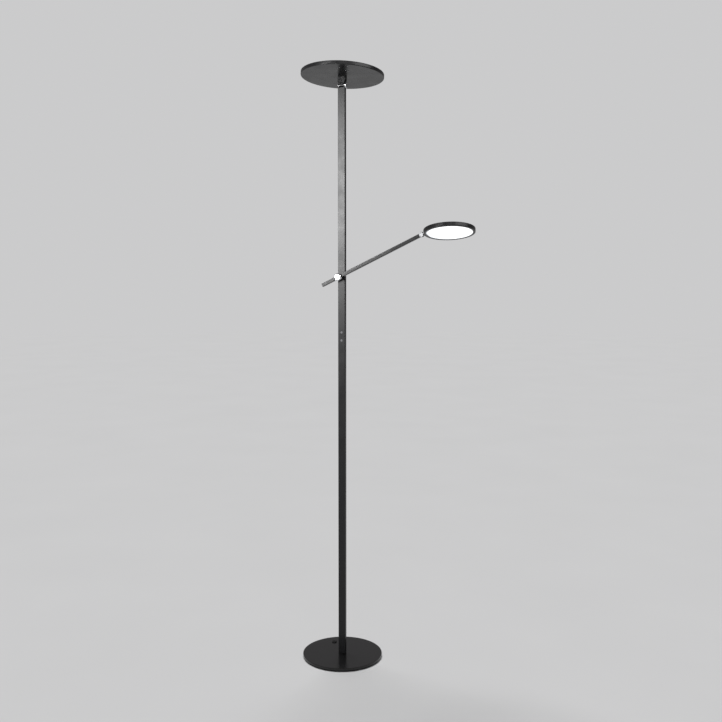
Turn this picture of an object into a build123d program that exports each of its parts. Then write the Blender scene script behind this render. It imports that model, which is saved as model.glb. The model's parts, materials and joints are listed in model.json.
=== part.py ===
from build123d import *
import os
from math import cos, radians, sin

# A slim floor lamp: an uplight disc on a tall flat pole, and a reading arm on the pole's front.
# The origin is on the floor under the centre of the round base. +Z is up, the front of the pole
# faces -Y and the reading arm reaches towards +X. The lamp is drawn with its joints at rest.

# --- Driving dimensions, in millimetres and degrees ----------------------------------------

FIT = 0.05  # radial clearance of a pin, screw or plug in its hole
SEAM = 0.05  # gap between faces that meet when the lamp is put together
EDGE = 0.8  # rounding of the turned parts' outer edges
SHELL_EDGE = 1.6  # rounding of the two heads' pressed shells
FINE_EDGE = 0.3  # broken edges of small and thin parts
SINK_TAPER = 45.0  # half angle of a countersunk head

BASE_RADIUS = 125.0
PAD_RADIUS = 120.0
PAD_THICKNESS = 2.0
PLATE_THICKNESS = 8.0
PLATE_EDGE = 1.0
BASE_TOP = PAD_THICKNESS + PLATE_THICKNESS
POCKET_DEPTH = 3.0  # the pole stands in a pocket of the plate
POLE_BOTTOM = BASE_TOP - POCKET_DEPTH

POLE_WIDTH = 23.0
POLE_DEPTH = 11.0
POLE_WALL = 1.5
POLE_CORNER = 1.0
POLE_TOP = 1755.0
POLE_FRONT = -POLE_DEPTH / 2
POLE_BACK = POLE_DEPTH / 2
BORE_WIDTH = POLE_WIDTH - 2 * POLE_WALL
BORE_DEPTH = POLE_DEPTH - 2 * POLE_WALL
PLUG_WIDTH = BORE_WIDTH - 2 * FIT
PLUG_DEPTH = BORE_DEPTH - 2 * FIT

FOOT_HEIGHT = 40.0
FOOT_NOTCH_HEIGHT = 5.0
FOOT_SCREW_X = 6.3
FOOT_SCREW_RADIUS = 2.5
FOOT_SCREW_LENGTH = 25.0
FOOT_SINK_HEIGHT = 2.5
FOOT_SOCKET_RADIUS = 1.7
FOOT_SOCKET_DEPTH = 1.8

GLAND_X = -56.0
GLAND_Y = 64.0
GLAND_RADIUS = 6.0
GLAND_FLANGE_RADIUS = 7.5
GLAND_FLANGE_HEIGHT = 3.0
GLAND_EDGE = 1.0
GLAND_BORE_RADIUS = 2.9
GLAND_BORE_LENGTH = 7.5

SUPPLY_RADIUS = 2.0
SUPPLY_LEVEL = 5.0  # height of the supply cable's axis under the plate
SUPPLY_BEND = 12.0  # radius of the turn up into the pole
GROOVE_RADIUS = 2.4
GROOVE_CORNER_Y = 36.0
GROOVE_BEND = 20.0
LEAD_RADIUS = 1.5
LEAD_CLEARANCE = 2.0
LEAD_X = 7.2
LEAD_Y = 0.9
LEAD_SHIFT_LOW = 1640.0  # the uplight's lead moves over to the pole's axis between these
LEAD_SHIFT_HIGH = 1700.0
LEAD_SHIFT_BEND = 100.0
THIN_LEAD_RADIUS = 1.1

BOARD_BOTTOM = 974.0
BOARD_HEIGHT = 88.0
BOARD_MIDDLE = BOARD_BOTTOM + BOARD_HEIGHT / 2
BOARD_TOP = BOARD_BOTTOM + BOARD_HEIGHT
BOARD_WIDTH = 18.2
BOARD_THICKNESS = 1.2
BOARD_FRONT = 1.6
BOARD_COMPONENTS = [  # height, width, length along the pole, thickness
    (978.5, 9.0, 5.0, 3.4),
    (990.0, 5.0, 6.0, 1.2),
    (1018.5, 10.0, 6.4, 3.0),
    (1048.0, 8.0, 8.0, 3.5),
    (1057.5, 12.0, 5.0, 3.4),
]
BUTTON_HEIGHTS = {"uplight_button": 1031.0, "reading_button": 1006.0}
BUTTON_RADIUS = 3.25
BUTTON_PROUD = 0.5
BUTTON_EDGE = 0.4
BUTTON_BACK = -1.6
BUTTON_COLLAR = 0.7
BUTTON_COLLAR_RADIUS = 4.0
BUTTON_STEM = 1.6
BUTTON_STEM_RADIUS = 1.5
SLEEVE_RADIUS = 4.0
SLEEVE_PROUD = 0.1
GUIDE_FRONT = -PLUG_DEPTH / 2
GUIDE_THICKNESS = 1.5
GUIDE_MARGIN = 4.0
GUIDE_RAIL_WIDTH = 0.8
GUIDE_RAIL_X = (PLUG_WIDTH - GUIDE_RAIL_WIDTH) / 2
SWITCH_SIZE = 6.0
SWITCH_THICKNESS = 2.0
SWITCH_WELL_RADIUS = 1.8
SWITCH_WELL_DEPTH = 1.5

ARM_PIVOT_HEIGHT = 1200.7
ARM_Y = -24.0  # the arm's centre plane, in front of the pole
ARM_ANGLE = 25.4  # above the horizontal
ARM_DEPTH = 12.0
ARM_HEIGHT = 10.3
ARM_WALL = 1.5
ARM_CORNER = 1.5
ARM_TAIL = 60.0  # from the pivot back to the square end
ARM_REACH = 291.5  # from the pivot out to the head hinge
ARM_CAP_THICKNESS = 1.5
ARM_TUBE_END = 281.5
ARM_BORE_DEPTH = ARM_DEPTH - 2 * ARM_WALL
ARM_BORE_HEIGHT = ARM_HEIGHT - 2 * ARM_WALL
ARM_PLUG_DEPTH = ARM_BORE_DEPTH - 2 * FIT
ARM_PLUG_HEIGHT = ARM_BORE_HEIGHT - 2 * FIT
ARM_PLUG_LENGTH = 8.0
ARM_BACK = ARM_Y + ARM_DEPTH / 2
ARM_FRONT = ARM_Y - ARM_DEPTH / 2
ARM_SCREW_REACH = 277.5
ARM_SCREW_RADIUS = 1.5
ARM_SCREW_LENGTH = 4.0
FORK_SHANK_START = 262.0

PIVOT_BOLT_RADIUS = 2.5
PIVOT_BOLT_BORE = 1.25
PIVOT_BLOCK_HEIGHT = 30.0
PIVOT_BUSH_LENGTH = 26.0
SPACER_RADIUS = 7.0
WASHER_RADIUS = 7.5
WASHER_THICKNESS = 0.9
KNOB_RADIUS = 11.0
KNOB_LENGTH = 7.2
KNOB_CHAMFER = 2.4
KNOB_BACK = ARM_FRONT - WASHER_THICKNESS - 2 * SEAM
KNOB_SOCKET_DEPTH = 4.0

HEAD_ANGLE = 6.2  # the twist axis, above the horizontal
HEAD_TWIST = -13.4  # turn of the reading head about the twist axis
KNUCKLE_RADIUS = 7.6
KNUCKLE_HALF_WIDTH = 2.6
FORK_SLOT_HALF_WIDTH = 2.9
FORK_CLEARANCE = 0.7
HEAD_PIN_RADIUS = 2.0
HEAD_CAP_RADIUS = 6.8
HEAD_CAP_THICKNESS = 3.2
HEAD_CAP_SOCKET = 2.0
HEAD_NUT_RADIUS = 4.5
HEAD_NUT_THICKNESS = 2.2
AXLE_RADIUS = 2.5
AXLE_CLEARANCE = 0.4
AXLE_REACH = 18.6  # from the head hinge along the twist axis
AXLE_GROOVE_RADIUS = 2.0
AXLE_GROOVE_WIDTH = 0.8
AXLE_GROOVE_START = 17.05
RETAINING_RING_RADIUS = 3.6
BEARING_START = 10.95
BEARING_LENGTH = 6.0
BEARING_WIDTH = 16.0
BEARING_BOTTOM = -4.3

HEAD_RADIUS = 75.0
HEAD_CENTRE_REACH = 83.4  # from the head hinge to the middle of the reading head
HEAD_HALF = 6.0  # half of the reading head's thickness
HEAD_SKIN = 2.0
HEAD_WALL = 2.0
HEAD_INNER_RADIUS = HEAD_RADIUS - HEAD_WALL
HEAD_PLUG_RADIUS = HEAD_INNER_RADIUS - FIT
HEAD_WINDOW_RADIUS = 67.8
HEAD_LIP = 0.95
HEAD_CHORD = 64.5  # distance of the joint cover's straight edge from the middle
HEAD_COVER_THICKNESS = 1.5
HEAD_DIFFUSER_RADIUS = 70.0
HEAD_DIFFUSER_TOP = -3.0
HEAD_BOARD_TOP = 3.9
HEAD_BOARD_BOTTOM = 2.4
HEAD_BOARD_CHORD = 64.0
REFLECTOR_RADIUS = 66.0
REFLECTOR_NOTCH_WIDTH = 18.0
DIFFUSER_THICKNESS = 2.0

BOARD_SCREW_RADIUS = 1.25
BOARD_SCREW_HEAD_RADIUS = 2.4
BOARD_SCREW_HEAD = 1.0
BOARD_SCREW_BITE = 1.4
READING_SCREW_CIRCLE = 45.0
READING_SCREW_COUNT = 3
UPLIGHT_SCREW_CIRCLE = 75.0
UPLIGHT_SCREW_COUNT = 4
LED_SIZE = 3.0
LED_HEIGHT = 0.7
UPLIGHT_LED_RINGS = {30.0: 12, 60.0: 24, 90.0: 36}  # ring radius: number of LEDs
READING_LED_RINGS = {18.0: 8, 36.0: 16, 54.0: 24}

HINGE_HEIGHT = 1771.5
UPLIGHT_TILT = 6.4  # the back edge is the lower one
CHEEK_THICKNESS = 3.5
CHEEK_INNER = POLE_WIDTH / 2 - CHEEK_THICKNESS
FORK_RADIUS = POLE_DEPTH / 2
FORK_SHANK = 40.0
FORK_SLOT_DEPTH = 7.5  # below the hinge axis
TOP_SCREW_HEIGHTS = [1725.0, 1743.0]
TOP_SCREW_RADIUS = 2.0
TOP_SCREW_LENGTH = 2.8
LEAD_SLOT_WIDTH = 10.0
LEAD_SLOT_DEPTH = 5.0
HINGE_PIN_RADIUS = 2.5
HINGE_PIN_INNER = 3.2
HINGE_PIN_HEAD_RADIUS = 4.0
HINGE_PIN_HEAD = 1.7
TONGUE_HALF_WIDTH = 7.4
TONGUE_RADIUS = 5.3
NECK_BORE_RADIUS = 2.0
NECK_WIDTH = 24.0
NECK_DEPTH = 14.0
NECK_BOTTOM = 7.0  # heights along the uplight's own axis, from the hinge
NECK_TOP = 25.0
NECK_SCREW_X = 8.0
NECK_SCREW_RADIUS = 2.0
NECK_SCREW_BITE = 12.0
NECK_SINK_RADIUS = 3.8
NECK_SOCKET_RADIUS = 1.4
NECK_SOCKET_DEPTH = 1.4
SIDE_CAP_RADIUS = 10.0
SIDE_CAP_INNER = 12.4
SIDE_CAP_OUTER = 15.8
SIDE_CAP_BOSS_RADIUS = 5.0

UPLIGHT_RADIUS = 125.0
UPLIGHT_THICKNESS = 11.0
UPLIGHT_WALL = 2.0
UPLIGHT_INNER_RADIUS = UPLIGHT_RADIUS - UPLIGHT_WALL
UPLIGHT_FLOOR = NECK_TOP + UPLIGHT_WALL
UPLIGHT_RIM = NECK_TOP + UPLIGHT_THICKNESS
UPLIGHT_WINDOW_RADIUS = 119.5
UPLIGHT_PLUG_RADIUS = UPLIGHT_INNER_RADIUS - 3 * FIT
UPLIGHT_BEZEL_THICKNESS = 0.9
UPLIGHT_BEZEL_BOTTOM = UPLIGHT_RIM - UPLIGHT_BEZEL_THICKNESS
UPLIGHT_DIFFUSER_TOP = UPLIGHT_BEZEL_BOTTOM - SEAM
UPLIGHT_REFLECTOR_TOP = UPLIGHT_DIFFUSER_TOP - DIFFUSER_THICKNESS - SEAM
UPLIGHT_REFLECTOR_RADIUS = 106.5
UPLIGHT_BOARD_RADIUS = 105.0
UPLIGHT_BOARD_HOLE = 14.0
LED_BOARD_THICKNESS = 1.5
UPLIGHT_BOARD_BOTTOM = UPLIGHT_FLOOR + SEAM
UPLIGHT_BOARD_TOP = UPLIGHT_BOARD_BOTTOM + LED_BOARD_THICKNESS

# --- Reference planes ----------------------------------------------------------------------

FORWARD = Vector(0, -1, 0)
ALONG_ARM = Vector(cos(radians(ARM_ANGLE)), 0, sin(radians(ARM_ANGLE)))
ALONG_HEAD = Vector(cos(radians(HEAD_ANGLE)), 0, sin(radians(HEAD_ANGLE)))
HEAD_UP = Vector(-sin(radians(HEAD_ANGLE)), 0, cos(radians(HEAD_ANGLE)))
HEAD_NORMAL = HEAD_UP * cos(radians(HEAD_TWIST)) + FORWARD * sin(radians(HEAD_TWIST))
UPLIGHT_NORMAL = Vector(0, sin(radians(UPLIGHT_TILT)), cos(radians(UPLIGHT_TILT)))

ARM_PIVOT = Vector(0, ARM_Y, ARM_PIVOT_HEIGHT)
HEAD_HINGE = ARM_PIVOT + ALONG_ARM * ARM_REACH
HEAD_CENTRE = HEAD_HINGE + ALONG_HEAD * HEAD_CENTRE_REACH
HINGE = Vector(0, 0, HINGE_HEIGHT)

ARM_SIDE = Plane(origin=ARM_PIVOT, x_dir=ALONG_ARM, z_dir=FORWARD)
ARM_SECTION = Plane(origin=ARM_PIVOT, x_dir=(0, 1, 0), z_dir=ALONG_ARM)
KNUCKLE_SIDE = Plane(origin=HEAD_HINGE, x_dir=ALONG_HEAD, z_dir=FORWARD)
TWIST_SECTION = Plane(origin=HEAD_HINGE, x_dir=(0, 1, 0), z_dir=ALONG_HEAD)
HEAD_FLAT = Plane(origin=HEAD_CENTRE, x_dir=ALONG_HEAD, z_dir=HEAD_NORMAL)
POLE_SIDE = Plane(origin=HINGE, x_dir=(0, 1, 0), z_dir=(1, 0, 0))
UPLIGHT_FLAT = Plane(origin=HINGE, x_dir=(1, 0, 0), z_dir=UPLIGHT_NORMAL)
UPLIGHT_SIDE = Plane(origin=HINGE, x_dir=UPLIGHT_FLAT.y_dir, z_dir=(1, 0, 0))
UPLIGHT_FRONT = Plane(origin=HINGE, x_dir=(1, 0, 0), z_dir=-UPLIGHT_FLAT.y_dir)
UPLIGHT_AXIS = Axis(HINGE, UPLIGHT_NORMAL)

BOTH_SIDES = (1, -1)


def facing_front(height, y):
    """A plane that faces the lamp's front, with its origin on the pole's centre line at y."""
    return Plane(origin=(0, y, height), x_dir=(1, 0, 0), z_dir=FORWARD)


def outer_rims(piece):
    """The circular edges of the largest radius."""
    return piece.edges().filter_by(GeomType.CIRCLE).group_by(SortBy.RADIUS)[-1]


def inner_rims(piece):
    """The circular edges of the smallest radius."""
    return piece.edges().filter_by(GeomType.CIRCLE).group_by(SortBy.RADIUS)[0]


# --- Base ----------------------------------------------------------------------------------

with BuildPart() as base_pad:
    with BuildSketch(Plane.XY):
        Circle(PAD_RADIUS)
    extrude(amount=PAD_THICKNESS)

# The supply cable lies in a groove under the plate, and turns up into the pole from behind.
gland_axis = Vector(GLAND_X, GLAND_Y, SUPPLY_LEVEL)
groove_corner = Vector(0, GROOVE_CORNER_Y, SUPPLY_LEVEL)
pole_axis = Vector(0, 0, SUPPLY_LEVEL)
groove_direction = (groove_corner - gland_axis).normalized()
supply_start = gland_axis + groove_direction * (GLAND_RADIUS + SEAM)
supply_end = Vector(0, 0, BOARD_BOTTOM - SEAM)
foot_screw_places = [(FOOT_SCREW_X * side, 0) for side in BOTH_SIDES]

with BuildPart() as base_plate:
    with BuildSketch(Plane.XY.offset(PAD_THICKNESS)):
        Circle(BASE_RADIUS)
    extrude(amount=PLATE_THICKNESS)
    fillet(outer_rims(base_plate), radius=PLATE_EDGE)
    with BuildSketch(Plane.XY.offset(POLE_BOTTOM)):
        Rectangle(POLE_WIDTH + 2 * FIT, POLE_DEPTH + 2 * FIT)
    extrude(amount=POCKET_DEPTH, mode=Mode.SUBTRACT)
    with BuildSketch(Plane.XY.offset(PAD_THICKNESS)):
        with Locations((GLAND_X, GLAND_Y)):
            Circle(GLAND_RADIUS + FIT)
        with Locations(*foot_screw_places):
            Circle(FOOT_SCREW_RADIUS + FIT)
    extrude(amount=PLATE_THICKNESS, mode=Mode.SUBTRACT)
    with BuildSketch(Plane.XY.offset(PAD_THICKNESS)):
        with Locations(*foot_screw_places):
            Circle(FOOT_SCREW_RADIUS + FOOT_SINK_HEIGHT + FIT)
    extrude(amount=FOOT_SINK_HEIGHT, taper=SINK_TAPER, mode=Mode.SUBTRACT)
    with BuildLine():
        FilletPolyline(
            gland_axis,
            groove_corner,
            pole_axis,
            pole_axis + Vector(0, 0, FOOT_HEIGHT),
            radius=[GROOVE_BEND, SUPPLY_BEND],
        )
    with BuildSketch(Plane(origin=gland_axis, z_dir=groove_direction)):
        Circle(GROOVE_RADIUS)
    sweep(mode=Mode.SUBTRACT)
    with BuildSketch(Plane.XY.offset(PAD_THICKNESS)):
        with BuildLine():
            FilletPolyline(
                (GLAND_X, GLAND_Y),
                (0, GROOVE_CORNER_Y),
                (0, SUPPLY_BEND),
                radius=GROOVE_BEND,
            )
        trace(line_width=2 * GROOVE_RADIUS)
    extrude(amount=SUPPLY_LEVEL - PAD_THICKNESS, mode=Mode.SUBTRACT)

with BuildPart() as base_screws:
    with BuildSketch(Plane.XY.offset(PAD_THICKNESS + SEAM)):
        with Locations(*foot_screw_places):
            Circle(FOOT_SCREW_RADIUS)
    extrude(amount=FOOT_SCREW_LENGTH)
    with BuildSketch(Plane.XY.offset(PAD_THICKNESS + SEAM)):
        with Locations(*foot_screw_places):
            Circle(FOOT_SCREW_RADIUS + FOOT_SINK_HEIGHT - 2 * FIT)
    extrude(amount=FOOT_SINK_HEIGHT - 2 * FIT, taper=SINK_TAPER)
    with BuildSketch(Plane.XY.offset(PAD_THICKNESS + SEAM)):
        with Locations(*foot_screw_places):
            RegularPolygon(FOOT_SOCKET_RADIUS, side_count=6)
    extrude(amount=FOOT_SOCKET_DEPTH, mode=Mode.SUBTRACT)

with BuildPart() as cable_gland:
    with BuildSketch(Plane.XY.offset(PAD_THICKNESS + SEAM)):
        with Locations((GLAND_X, GLAND_Y)):
            Circle(GLAND_RADIUS)
    extrude(amount=PLATE_THICKNESS)
    with BuildSketch(Plane.XY.offset(BASE_TOP)):
        with Locations((GLAND_X, GLAND_Y)):
            Circle(GLAND_FLANGE_RADIUS)
    extrude(amount=GLAND_FLANGE_HEIGHT)
    fillet(cable_gland.edges().filter_by(GeomType.CIRCLE).group_by(Axis.Z)[-1], radius=GLAND_EDGE)
    with BuildSketch(Plane.XY.offset(BASE_TOP + GLAND_FLANGE_HEIGHT - GLAND_BORE_LENGTH)):
        with Locations((GLAND_X, GLAND_Y)):
            Circle(GLAND_BORE_RADIUS)
    extrude(amount=GLAND_BORE_LENGTH, mode=Mode.SUBTRACT)

with BuildPart() as supply_cable:
    with BuildLine():
        FilletPolyline(
            supply_start,
            groove_corner,
            pole_axis,
            supply_end,
            radius=[GROOVE_BEND, SUPPLY_BEND],
        )
    with BuildSketch(Plane(origin=supply_start, z_dir=groove_direction)):
        Circle(SUPPLY_RADIUS)
    sweep()

# --- Pole ----------------------------------------------------------------------------------

with BuildPart() as pole_foot_block:
    with BuildSketch(Plane.XY.offset(POLE_BOTTOM)):
        Rectangle(PLUG_WIDTH, PLUG_DEPTH)
        with Locations(*foot_screw_places):
            Circle(FOOT_SCREW_RADIUS + FIT, mode=Mode.SUBTRACT)
        with Locations((0, -GROOVE_RADIUS)):
            Rectangle(
                2 * GROOVE_RADIUS,
                PLUG_DEPTH,
                align=(Align.CENTER, Align.MIN),
                mode=Mode.SUBTRACT,
            )
    extrude(amount=FOOT_HEIGHT)

with BuildPart() as pole_tube:
    with BuildSketch(Plane.XY.offset(POLE_BOTTOM)):
        RectangleRounded(POLE_WIDTH, POLE_DEPTH, POLE_CORNER)
        Rectangle(BORE_WIDTH, BORE_DEPTH, mode=Mode.SUBTRACT)
    extrude(amount=POLE_TOP - POLE_BOTTOM)
    # holes in the front wall, for the two button sleeves and the arm's pivot bolt
    for height in BUTTON_HEIGHTS.values():
        with BuildSketch(facing_front(height, 0)):
            Circle(SLEEVE_RADIUS + FIT)
        extrude(amount=POLE_DEPTH, mode=Mode.SUBTRACT)
    with BuildSketch(facing_front(ARM_PIVOT_HEIGHT, 0)):
        Circle(PIVOT_BOLT_RADIUS + FIT)
    extrude(amount=POLE_DEPTH, mode=Mode.SUBTRACT)
    # holes in the rear wall, for the top fork's set screws and for the cable at the foot
    for height in TOP_SCREW_HEIGHTS:
        with BuildSketch(facing_front(height, 0)):
            Circle(TOP_SCREW_RADIUS + FIT)
        extrude(amount=-POLE_DEPTH, mode=Mode.SUBTRACT)
    with BuildSketch(facing_front(POLE_BOTTOM, 0)):
        Rectangle(2 * GROOVE_RADIUS, 2 * FOOT_NOTCH_HEIGHT)
    extrude(amount=-POLE_DEPTH, mode=Mode.SUBTRACT)

# The guide clips in behind the front wall, carries the board and lets the buttons slide.
with BuildPart() as button_guide:
    with BuildSketch(facing_front(BOARD_MIDDLE, GUIDE_FRONT + GUIDE_THICKNESS)):
        Rectangle(PLUG_WIDTH, BOARD_HEIGHT + 2 * GUIDE_MARGIN)
    extrude(amount=GUIDE_THICKNESS)
    with BuildSketch(facing_front(BOARD_MIDDLE, GUIDE_FRONT + GUIDE_THICKNESS)):
        with Locations((GUIDE_RAIL_X, 0), (-GUIDE_RAIL_X, 0)):
            Rectangle(GUIDE_RAIL_WIDTH, BOARD_HEIGHT)
    extrude(amount=GUIDE_THICKNESS - PLUG_DEPTH)
    for height in BUTTON_HEIGHTS.values():
        with BuildSketch(facing_front(height, GUIDE_FRONT)):
            Circle(SLEEVE_RADIUS)
        extrude(amount=GUIDE_FRONT - POLE_FRONT + SLEEVE_PROUD)
        with BuildSketch(facing_front(height, 0)):
            Circle(BUTTON_RADIUS + FIT)
        extrude(amount=POLE_DEPTH, mode=Mode.SUBTRACT)

with BuildPart() as dimmer_board:
    with BuildSketch(facing_front(BOARD_MIDDLE, BOARD_FRONT)):
        Rectangle(BOARD_WIDTH, BOARD_HEIGHT)
    extrude(amount=-BOARD_THICKNESS)

with BuildPart() as board_components:
    for height, width, length, thickness in BOARD_COMPONENTS:
        with BuildSketch(facing_front(height, BOARD_FRONT)):
            Rectangle(width, length)
        extrude(amount=thickness)

with BuildPart() as board_switches:
    for height in BUTTON_HEIGHTS.values():
        with BuildSketch(facing_front(height, BOARD_FRONT)):
            Rectangle(SWITCH_SIZE, SWITCH_SIZE)
        extrude(amount=SWITCH_THICKNESS)
        with BuildSketch(facing_front(height, BOARD_FRONT - SWITCH_THICKNESS)):
            Circle(SWITCH_WELL_RADIUS)
        extrude(amount=-SWITCH_WELL_DEPTH, mode=Mode.SUBTRACT)

buttons = {}
for name, height in BUTTON_HEIGHTS.items():
    with BuildPart() as button:
        with BuildSketch(facing_front(height, BUTTON_BACK)):
            Circle(BUTTON_RADIUS)
        extrude(amount=BUTTON_BACK - POLE_FRONT + BUTTON_PROUD)
        fillet(button.faces().sort_by(Axis.Y)[0].edges(), radius=BUTTON_EDGE)
        with BuildSketch(facing_front(height, BUTTON_BACK)):
            Circle(BUTTON_COLLAR_RADIUS)
        extrude(amount=BUTTON_COLLAR)
        with BuildSketch(facing_front(height, BUTTON_BACK)):
            Circle(BUTTON_STEM_RADIUS)
        extrude(amount=-BUTTON_STEM)
    buttons[name] = button

# --- Leads inside the pole -----------------------------------------------------------------

uplight_lead_start = Vector(-LEAD_X, LEAD_Y, BOARD_TOP + SEAM)

with BuildPart() as uplight_lead:
    with BuildLine():
        FilletPolyline(
            uplight_lead_start,
            Vector(-LEAD_X, LEAD_Y, LEAD_SHIFT_LOW),
            Vector(0, 0, LEAD_SHIFT_HIGH),
            Vector(0, 0, HINGE_HEIGHT - FORK_SLOT_DEPTH),
            radius=LEAD_SHIFT_BEND,
        )
    with BuildSketch(Plane.XY.offset(uplight_lead_start.Z)):
        with Locations((-LEAD_X, LEAD_Y)):
            Circle(LEAD_RADIUS)
    sweep()

with BuildPart() as arm_feed_lead:
    with BuildSketch(Plane.XY.offset(BOARD_TOP + SEAM)):
        with Locations((LEAD_X, LEAD_Y)):
            Circle(THIN_LEAD_RADIUS)
    extrude(amount=ARM_PIVOT_HEIGHT - BOARD_TOP)

# --- Arm pivot -----------------------------------------------------------------------------

with BuildPart() as arm_pivot_block:
    with BuildSketch(Plane.XY.offset(ARM_PIVOT_HEIGHT - PIVOT_BLOCK_HEIGHT / 2)):
        Rectangle(PLUG_WIDTH, PLUG_DEPTH)
        with Locations((LEAD_X, -LEAD_RADIUS), (-LEAD_X, -LEAD_RADIUS)):
            Rectangle(
                2 * LEAD_CLEARANCE,
                PLUG_DEPTH,
                align=(Align.CENTER, Align.MIN),
                mode=Mode.SUBTRACT,
            )
    extrude(amount=PIVOT_BLOCK_HEIGHT)
    with BuildSketch(facing_front(ARM_PIVOT_HEIGHT, 0)):
        Circle(PIVOT_BOLT_RADIUS + FIT)
    extrude(amount=BORE_DEPTH, both=True, mode=Mode.SUBTRACT)

# The bolt is hollow for the arm's wires, with a port in the arm's centre plane.
with BuildPart() as arm_pivot_bolt:
    with BuildSketch(facing_front(ARM_PIVOT_HEIGHT, PLUG_DEPTH / 2)):
        Circle(PIVOT_BOLT_RADIUS)
    extrude(amount=PLUG_DEPTH / 2 - KNOB_BACK + KNOB_SOCKET_DEPTH)
    with BuildSketch(facing_front(ARM_PIVOT_HEIGHT, PLUG_DEPTH / 2)):
        Circle(PIVOT_BOLT_BORE)
    extrude(amount=PLUG_DEPTH / 2 - ARM_Y + PIVOT_BOLT_BORE, mode=Mode.SUBTRACT)
    with BuildSketch(ARM_SECTION):
        Circle(PIVOT_BOLT_BORE)
    extrude(amount=2 * PIVOT_BOLT_RADIUS, mode=Mode.SUBTRACT)

with BuildPart() as arm_spacer:
    with BuildSketch(facing_front(ARM_PIVOT_HEIGHT, POLE_FRONT)):
        Circle(SPACER_RADIUS)
        Circle(PIVOT_BOLT_RADIUS + FIT, mode=Mode.SUBTRACT)
    extrude(amount=POLE_FRONT - ARM_BACK - WASHER_THICKNESS - 2 * SEAM)
    chamfer(outer_rims(arm_spacer), length=FINE_EDGE)

with BuildPart() as arm_washers:
    for back in (ARM_BACK + SEAM + WASHER_THICKNESS, ARM_FRONT - SEAM):
        with BuildSketch(facing_front(ARM_PIVOT_HEIGHT, back)):
            Circle(WASHER_RADIUS)
            Circle(PIVOT_BOLT_RADIUS + FIT, mode=Mode.SUBTRACT)
        extrude(amount=WASHER_THICKNESS)
    chamfer(outer_rims(arm_washers), length=FINE_EDGE)

with BuildPart() as arm_pivot_knob:
    with BuildSketch(facing_front(ARM_PIVOT_HEIGHT, KNOB_BACK)):
        Circle(KNOB_RADIUS)
    extrude(amount=KNOB_LENGTH)
    chamfer(arm_pivot_knob.faces().sort_by(Axis.Y)[0].edges(), length=KNOB_CHAMFER)
    chamfer(arm_pivot_knob.faces().sort_by(Axis.Y)[-1].edges(), length=FINE_EDGE)
    with BuildSketch(facing_front(ARM_PIVOT_HEIGHT, KNOB_BACK)):
        Circle(PIVOT_BOLT_RADIUS + FIT)
    extrude(amount=KNOB_SOCKET_DEPTH + SEAM, mode=Mode.SUBTRACT)

# --- Reading arm ---------------------------------------------------------------------------

with BuildPart() as arm_tube:
    with BuildSketch(ARM_SECTION.offset(ARM_CAP_THICKNESS - ARM_TAIL)):
        RectangleRounded(ARM_DEPTH, ARM_HEIGHT, ARM_CORNER)
        Rectangle(ARM_BORE_DEPTH, ARM_BORE_HEIGHT, mode=Mode.SUBTRACT)
    extrude(amount=ARM_TAIL - ARM_CAP_THICKNESS + ARM_TUBE_END)
    with BuildSketch(ARM_SIDE):
        Circle(PIVOT_BOLT_RADIUS + FIT)
    extrude(amount=ARM_DEPTH, both=True, mode=Mode.SUBTRACT)
    with BuildSketch(ARM_SIDE):
        with Locations((ARM_SCREW_REACH, 0)):
            Circle(ARM_SCREW_RADIUS + FIT)
    extrude(amount=ARM_DEPTH, mode=Mode.SUBTRACT)

with BuildPart() as arm_tail_cap:
    with BuildSketch(ARM_SECTION.offset(-ARM_TAIL)):
        RectangleRounded(ARM_DEPTH, ARM_HEIGHT, ARM_CORNER)
    extrude(amount=ARM_CAP_THICKNESS)
    chamfer(arm_tail_cap.faces().sort_by(Axis.X)[0].edges(), length=FINE_EDGE)
    with BuildSketch(ARM_SECTION.offset(ARM_CAP_THICKNESS - ARM_TAIL)):
        Rectangle(ARM_PLUG_DEPTH, ARM_PLUG_HEIGHT)
    extrude(amount=ARM_PLUG_LENGTH)

with BuildPart() as arm_pivot_bush:
    with BuildSketch(ARM_SECTION.offset(-PIVOT_BUSH_LENGTH / 2)):
        Rectangle(ARM_PLUG_DEPTH, ARM_PLUG_HEIGHT)
    extrude(amount=PIVOT_BUSH_LENGTH)
    with BuildSketch(ARM_SIDE):
        Circle(PIVOT_BOLT_RADIUS + FIT)
    extrude(amount=ARM_DEPTH, both=True, mode=Mode.SUBTRACT)
    with BuildSketch(ARM_SECTION):
        Circle(PIVOT_BOLT_BORE)
    extrude(amount=PIVOT_BUSH_LENGTH, mode=Mode.SUBTRACT)

with BuildPart() as arm_lead:
    with BuildSketch(ARM_SECTION.offset(PIVOT_BUSH_LENGTH / 2)):
        Circle(THIN_LEAD_RADIUS)
    extrude(amount=FORK_SHANK_START - SEAM - PIVOT_BUSH_LENGTH / 2)

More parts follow.
